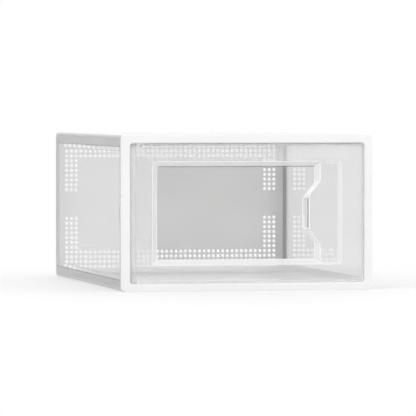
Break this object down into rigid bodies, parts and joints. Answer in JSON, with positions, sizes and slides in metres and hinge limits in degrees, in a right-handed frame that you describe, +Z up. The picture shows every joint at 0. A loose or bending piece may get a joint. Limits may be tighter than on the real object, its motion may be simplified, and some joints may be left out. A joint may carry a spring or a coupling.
{
  "type": "shoe box",
  "caption": "Front-opening stackable shoe box with a white front frame, clear hinged door, clear walls and a frosted vented back.",
  "frame": {"origin": "centre of the underside, on the surface the box stands on", "axes": "+Z up, -Y out of the door, +X to the right seen from the front"},
  "size_m": [0.23, 0.34, 0.14],
  "materials": {
    "white_plastic": "satin moulded white plastic",
    "clear_door": "clear moulded plastic, faintly hazed outside the window",
    "clear_wall": "thin clear moulded plastic",
    "frosted_back": "frosted light grey translucent plastic"
  },
  "bodies": {
    "box": {"front_frame": "white_plastic", "top_panel": "clear_wall", "bottom_panel": "clear_wall", "left_panel": "clear_wall", "right_panel": "clear_wall", "back_panel": "frosted_back"},
    "door": {"door": "clear_door"}
  },
  "joints": [
    {"name": "door_hinge", "type": "hinge", "parent": "box", "child": "door", "pos_m": [-0.105, -0.1676, 0.07], "axis": [0, 0, -1], "range_deg": [0, 120]}
  ]
}
